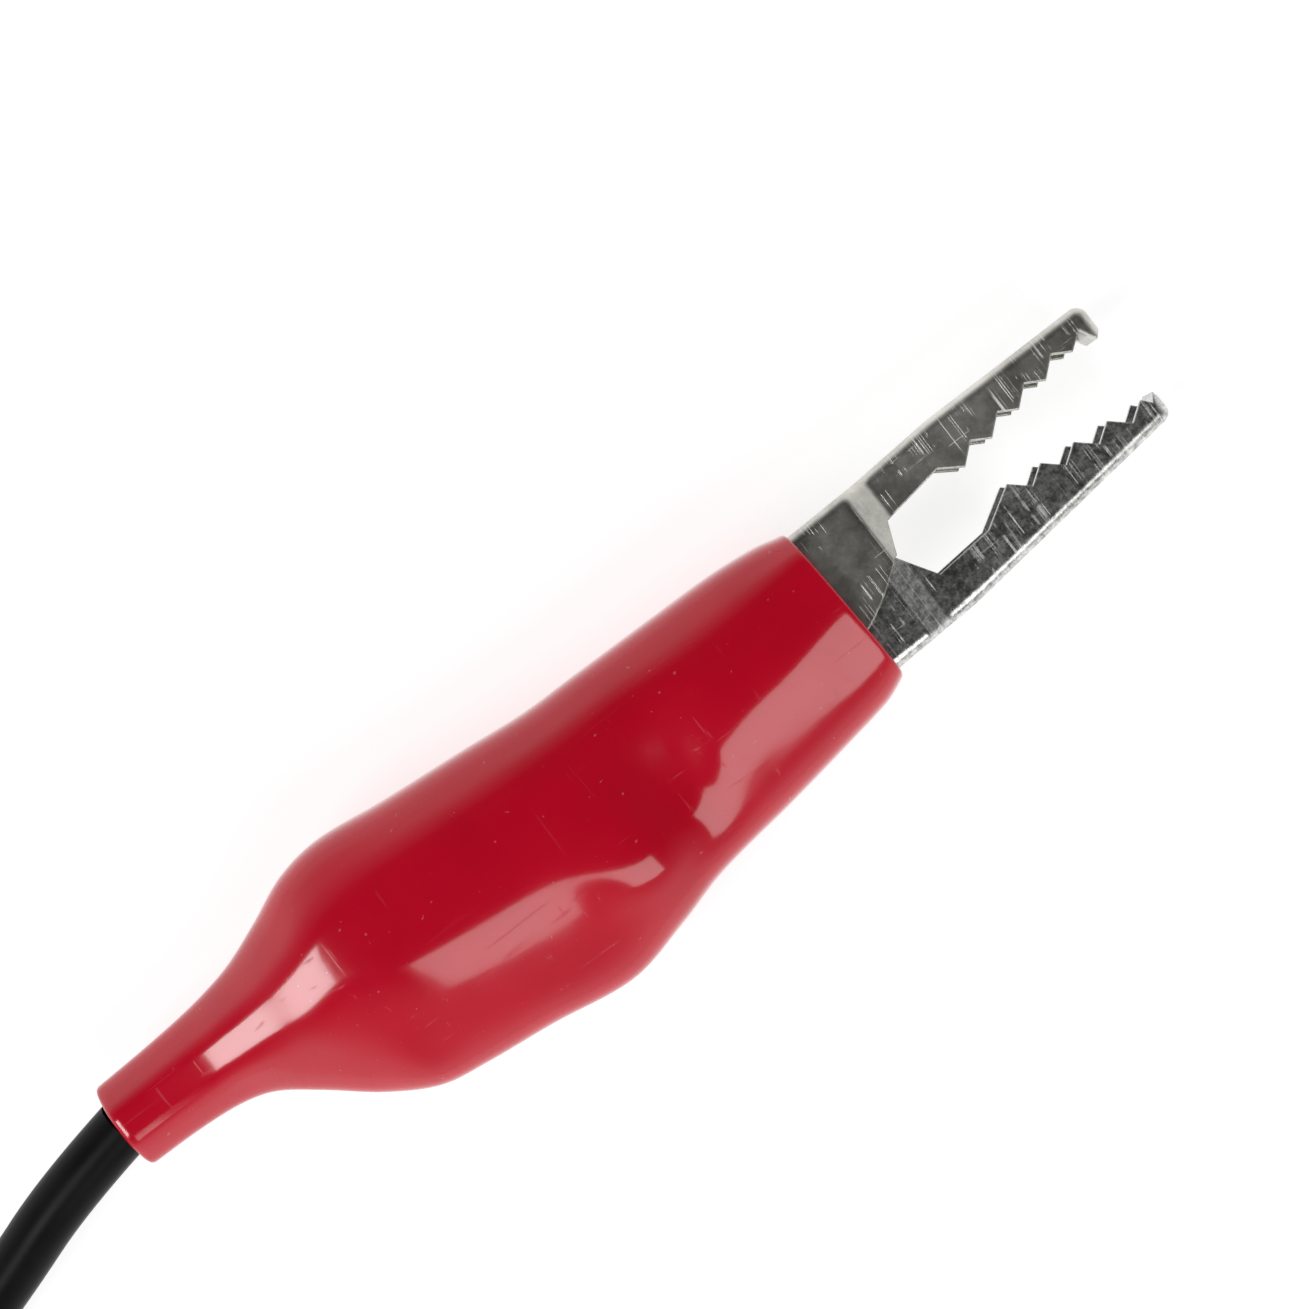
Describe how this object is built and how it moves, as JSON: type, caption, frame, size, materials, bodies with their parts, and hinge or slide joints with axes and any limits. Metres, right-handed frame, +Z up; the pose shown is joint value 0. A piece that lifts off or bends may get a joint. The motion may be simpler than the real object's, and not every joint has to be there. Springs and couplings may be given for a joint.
{
  "type": "alligator clip lead",
  "caption": "Flexible black test lead with a sprung, toothed steel alligator clip in a soft red vinyl boot on each end, its spare cord tied in a hank.",
  "frame": {"origin": "under the middle of the near clip, on the surface that the lead lies on", "axes": "+X from the cord to the near clip's jaw tips, +Y from the lever jaw to the wire jaw, +Z up, along the hinge"},
  "size_m": [0.2065, 0.0268, 0.01],
  "materials": {
    "boot_vinyl": "glossy dip-moulded soft vinyl, deep red",
    "jaw_steel": "dull nickel plate with fine scratches and mottling",
    "rivet_steel": "bright nickel plate",
    "spring_steel": "oiled spring wire",
    "screw_steel": "nickel-plated, turned",
    "bare_copper": "twisted bare copper strands",
    "cord_vinyl": "satin black vinyl insulation",
    "tie_plastic": "soft black plastic strap"
  },
  "bodies": {
    "lead": {"wire_jaw": "jaw_steel", "pivot_rivet": "rivet_steel", "torsion_spring": "spring_steel", "terminal_screw": "screw_steel", "clamp_washer": "screw_steel", "wire_end": "bare_copper", "cord_end": "cord_vinyl", "boot": "boot_vinyl", "far_wire_jaw": "jaw_steel", "far_pivot_rivet": "rivet_steel", "far_torsion_spring": "spring_steel", "far_terminal_screw": "screw_steel", "far_clamp_washer": "screw_steel", "far_wire_end": "bare_copper", "far_cord_end": "cord_vinyl", "far_boot": "boot_vinyl", "cord_run": "cord_vinyl", "cord_hank": "cord_vinyl", "far_cord_run": "cord_vinyl", "hank_tie": "tie_plastic"},
    "lever": {"lever_jaw": "jaw_steel"},
    "far_lever": {"far_lever_jaw": "jaw_steel"}
  },
  "joints": [
    {"name": "jaw_hinge", "type": "hinge", "parent": "lead", "child": "lever", "pos_m": [0.008, 0.0006, 0.005], "axis": [0, 0, -1], "range_deg": [-10, 10], "stiffness_Nm_per_rad": 0.2, "deforming": ["boot", "torsion_spring"]},
    {"name": "far_jaw_hinge", "type": "hinge", "parent": "lead", "child": "far_lever", "pos_m": [-0.1515, 0.0001, 0.005], "axis": [0, 0, 1], "range_deg": [-10, 10], "stiffness_Nm_per_rad": 0.2, "deforming": ["far_boot", "far_torsion_spring"]}
  ]
}
